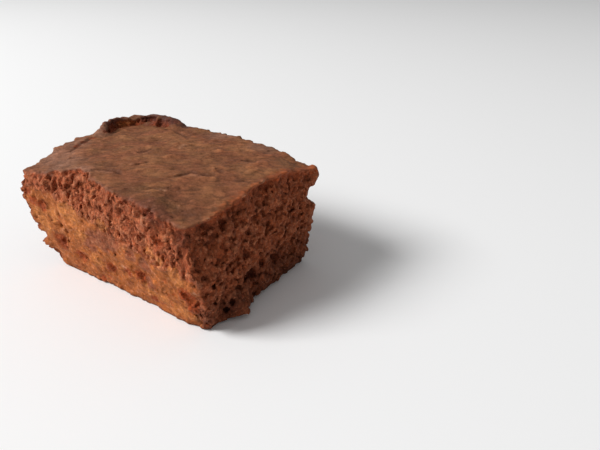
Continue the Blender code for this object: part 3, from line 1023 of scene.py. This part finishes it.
def crumb_colour(place, shares, marks, glint, patches):
    pulled, wiped, coarse = shares
    depth, lip, grain = marks
    x, y, z = parts_of(place)
    colour = mixed(wiped, mixed(pulled, CRUMB_COARSE, CRUMB_PULLED), CRUMB_WIPED)
    colour = mixed(haze(place, 4.5, 3.0).step(-0.02, 0.16) * pulled * 0.45, colour, ORANGE)
    colour = patched(place, colour, patches, CRUMB_PATCHES)
    colour = mixed(haze(place, 3.0, 3.0).step(0.08, 0.22) * 0.55, colour, RUST)
    colour = mixed((1.0 - lip.step(0.4, 2.2)) * 0.7, colour, RUST)
    fine = haze(place, 1.3, 3.0)
    colour = mixed(fine.step(0.04, 0.2) * (wiped * 0.5 + pulled * 0.15), colour, CRUMB_BRIGHT)
    colour = mixed((-fine).step(0.06, 0.22) * 0.5, colour, RUST_DARK)
    # Painted highlights on the proud crumbs of the pulled band and the right end.
    ridge_highlight = depth.step(-0.3, 0.7) * (pulled * 0.3 + coarse * 0.3)
    spots = haze(place, 0.75, 2.0).step(-0.02, 0.18) * depth.step(-1.2, 0.2)
    spots = spots * (pulled * 0.65 + coarse * 0.42)
    colour = mixed(ridge_highlight.most(spots), colour, CRUMB_BRIGHT)
    # Painted shade in the pores, and below it in the shady patches.
    pore_shade = (1.0 - depth.step(-2.4, -0.5)) * (1.0 - wiped * 0.4)
    colour = mixed(pore_shade * 0.75, colour, PAINTED_SHADE)
    colour = mixed(patches["shady"] * 0.7, colour, PAINTED_SHADE)
    base = 1.0 - (z + haze(place, 2.0) * 1.2).step(0.3, 1.3)
    colour = mixed(base * 0.8, colour, BASE_DARK)
    # Painted shade along the raised rim.
    colour = patched(place, colour, patches, CRUMB_RIM_SHADE)
    # Painted shade: the coarse right end darkens towards its base.
    colour = shaded_by(colour, 1.0 - coarse * (1.0 - z.step(4.0, 18.0)) * 0.36)
    # Painted highlight: the glints are lightened in colour as well as made glossier.
    colour = mixed(glint * 0.55, colour, CRUMB_BRIGHT)
    strokes = haze(joined(x * 0.16, y, z + x * 0.15), 1.1, 3.0) * wiped
    colour = shaded_by(colour, (grain * 0.4 + 0.8) * (strokes * 0.7 + 1.0))
    granules = use_group(GRANULES, place, Size=0.8)
    colour = shaded_by(colour, (granules - 1.0) * (1.0 - wiped * 0.6) + 1.0)
    # Bright specks, partly pale crumbs and partly painted highlights.
    return mixed(patches["bright"], colour, SPECK)


def crust_colour(place, marks, torn, patches):
    rise, split, fold = marks
    clouds = haze(place, 8.0, 3.0)
    colour = mixed(clouds.step(-0.02, 0.16), CRUST_BROWN, CRUST_OLIVE)
    colour = mixed(1.0 - clouds.step(-0.16, 0.02), colour, CRUST_RED)
    # A pale grey painted sheen in places.
    sheen_paint = (patches["sheen_paint"] + haze(place, 3.0, 3.0) * 0.5).step(0.1, 0.9)
    colour = mixed(sheen_paint * 0.8, colour, CRUST_SHEEN_PAINT)
    crumbling = (torn + haze(place, 1.6, 3.0) * 0.5).step(0.05, 0.5)
    colour = mixed(crumbling * 0.65, colour, CRUST_TORN)
    colour = patched(place, colour, patches, CRUST_PATCHES)
    edge = (parts_of(place)[0] + haze(place, 1.6, 3.0) * 6.0).step(*RUSTY_EDGE)
    colour = mixed(edge * 0.72, colour, EDGE_RUST)
    # Painted shade along the raised rim.
    colour = patched(place, colour, patches, CRUST_RIM_SHADE)
    # Thin dark lines of painted crease shade, over a mottled tone.
    wrinkled = vector_math('MULTIPLY', turned(place, -LOOK_ROUND), (0.45, 1.0, 1.0))
    lines = haze(wrinkled, 2.6, 4.0).math('ABSOLUTE').step(0.0, 0.08) * 0.3 + 0.8
    mottle = haze(wrinkled, 1.3, 3.0) * 0.85 + haze(place, 2.4, 3.0) * 0.65
    colour = shaded_by(colour, (mottle + 1.0) * lines)
    # Painted highlight on the raised fold, and painted shade along the split, drawn wider on its far side.
    colour = mixed(fold * 0.4, colour, FOLD_HIGHLIGHT)
    colour = mixed(split * 0.9, colour, SPLIT_SHADE)
    # Painted shade in the hollows of the crust's relief, painted light on its crests, and painted shade on
    # the shady patches.
    colour = shaded_by(colour, (rise * 0.45 + 1.0) * (1.0 - patches["shady"] * 0.28))
    # Bright specks, partly pale crumbs and partly painted highlights.
    return mixed(patches["bright"], colour, SPECK)


def baked_cake():
    material = bpy.data.materials.new("Baked cake")
    material.use_nodes = True
    tree = material.node_tree
    shader = tree.nodes["Principled BSDF"]
    place = vector_math('SCALE', out_of(tree.nodes.new('ShaderNodeTexCoord'), "Object"), 1.0 / MM)
    torn, pulled, wiped = parts_of(attribute(tree, "shares", "Color"))
    coarse = attribute(tree, "shares", "Alpha")
    patches = {name: attribute(tree, name) for name in PATCHES}
    crust = attribute(tree, "crust")
    marks = [attribute(tree, name) for name in ("depth", "lip", "grain")]
    crust_marks = [attribute(tree, name) for name in ("rise", "split", "fold")]
    glint = haze(place, 0.6).step(0.17, 0.27) * (1.0 - wiped * 0.5) * (1.0 - crust)
    crumb = crumb_colour(place, (pulled, wiped, coarse), marks, glint, patches)
    whole = mixed(crust, crumb, crust_colour(place, crust_marks, torn, patches))
    for size, amount in ((0.7, 0.5 - crust * 0.3), (3.5, 0.25)):
        whole = shaded_by(whole, use_group(SPECKLE, place, Size=size, Amount=amount))
    feed(shader.inputs["Base Color"], whole)
    sheen = (glint + patches["bright"]) * GLINT_SHEEN + crust * CRUST_SHEEN
    feed(shader.inputs["Roughness"], haze(place, 1.1, 2.0) * 0.25 - sheen + CRUMB_ROUGHNESS)
    shader.inputs["Specular IOR Level"].default_value = CAKE_SPECULAR
    wrinkled = vector_math('MULTIPLY', turned(place, -LOOK_ROUND), (0.55, 1.0, 1.0))
    granules = use_group(GRANULES, place, "Height", Size=0.8)
    grainy = haze(place, 0.45, 3.0, 0.6) + granules * 0.6
    relief = grainy * (1.0 - crust * 0.85 - wiped * 0.4) + haze(wrinkled, 0.9, 3.0, 0.6) * crust
    bump = add_node(tree, 'ShaderNodeBump', Strength=1.0, Distance=BUMP_DEPTH * MM, Height=relief)
    feed(shader.inputs["Normal"], out_of(bump))
    return material


# %% [markdown]
# Each step works on the mesh that the one before it left. The helpers then go, and the piece
# takes the solid's place.

# %% Making the piece
material = baked_cake()
cake_piece = grow_crumb(core, material)
thin_and_mark(cake_piece, core, material)
mark_patches(cake_piece.data)
wrap_uv(cake_piece.data)
for helper in (core, holes, splits):
    bpy.data.objects.remove(helper)
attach(cake_piece, "root")
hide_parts("cake")

# %% [markdown]
# A plain pale floor, one large soft light like a window on the left, and a weak even fill.
# The right end faces away from the window and gets only the fill and the floor's light.

# %% Floor and light
FLOOR_HALF = 3.0  # metres, as are the window's distance and size
FLOOR_PALE = (0.95, 0.95, 0.95, 1.0)
FLOOR_ROUGHNESS = 0.9
WINDOW_AIM = Vector((0.0, 0.0, 20.0)) * MM
WINDOW_WAY = Vector((-0.52, -0.58, 0.63))
WINDOW_FAR = 2.2
WINDOW_SIZE = 0.9
WINDOW_POWER = 53.0
FILL_STRENGTH = 0.3
BACKDROP_STRENGTH = 0.92


def add_floor():
    data = bpy.data.meshes.new("floor")
    corners = [(x * FLOOR_HALF, y * FLOOR_HALF, 0.0) for x, y in ((-1, -1), (1, -1), (1, 1), (-1, 1))]
    data.from_pydata(corners, [], [(0, 1, 2, 3)])
    floor = linked_object("floor", data)
    paint = bpy.data.materials.new("Pale floor")
    paint.use_nodes = True
    shader = paint.node_tree.nodes["Principled BSDF"]
    shader.inputs["Base Color"].default_value = FLOOR_PALE
    shader.inputs["Roughness"].default_value = FLOOR_ROUGHNESS
    data.materials.append(paint)


def add_window():
    light = linked_object("Window", bpy.data.lights.new("Window", 'AREA'))
    light.data.energy = WINDOW_POWER
    light.data.size = WINDOW_SIZE
    light.location = WINDOW_AIM + WINDOW_WAY.normalized() * WINDOW_FAR
    light.rotation_mode = 'QUATERNION'
    light.rotation_quaternion = (-WINDOW_WAY).to_track_quat("-Z", "Y")


def add_fill():
    world = bpy.data.worlds.new("Studio")
    world.use_nodes = True
    tree = world.node_tree
    seen = out_of(tree.nodes.new('ShaderNodeLightPath'), "Is Camera Ray")
    strength = seen * (BACKDROP_STRENGTH - FILL_STRENGTH) + FILL_STRENGTH
    feed(tree.nodes["Background"].inputs["Strength"], strength)
    tree.nodes["Background"].inputs["Color"].default_value = (1.0, 1.0, 1.0, 1.0)
    bpy.context.scene.world = world


add_floor()
add_window()
add_fill()
bpy.context.scene.view_settings.view_transform = 'Standard'
print("window:", WINDOW_POWER, "W,", WINDOW_FAR, "m away, fill:", FILL_STRENGTH)
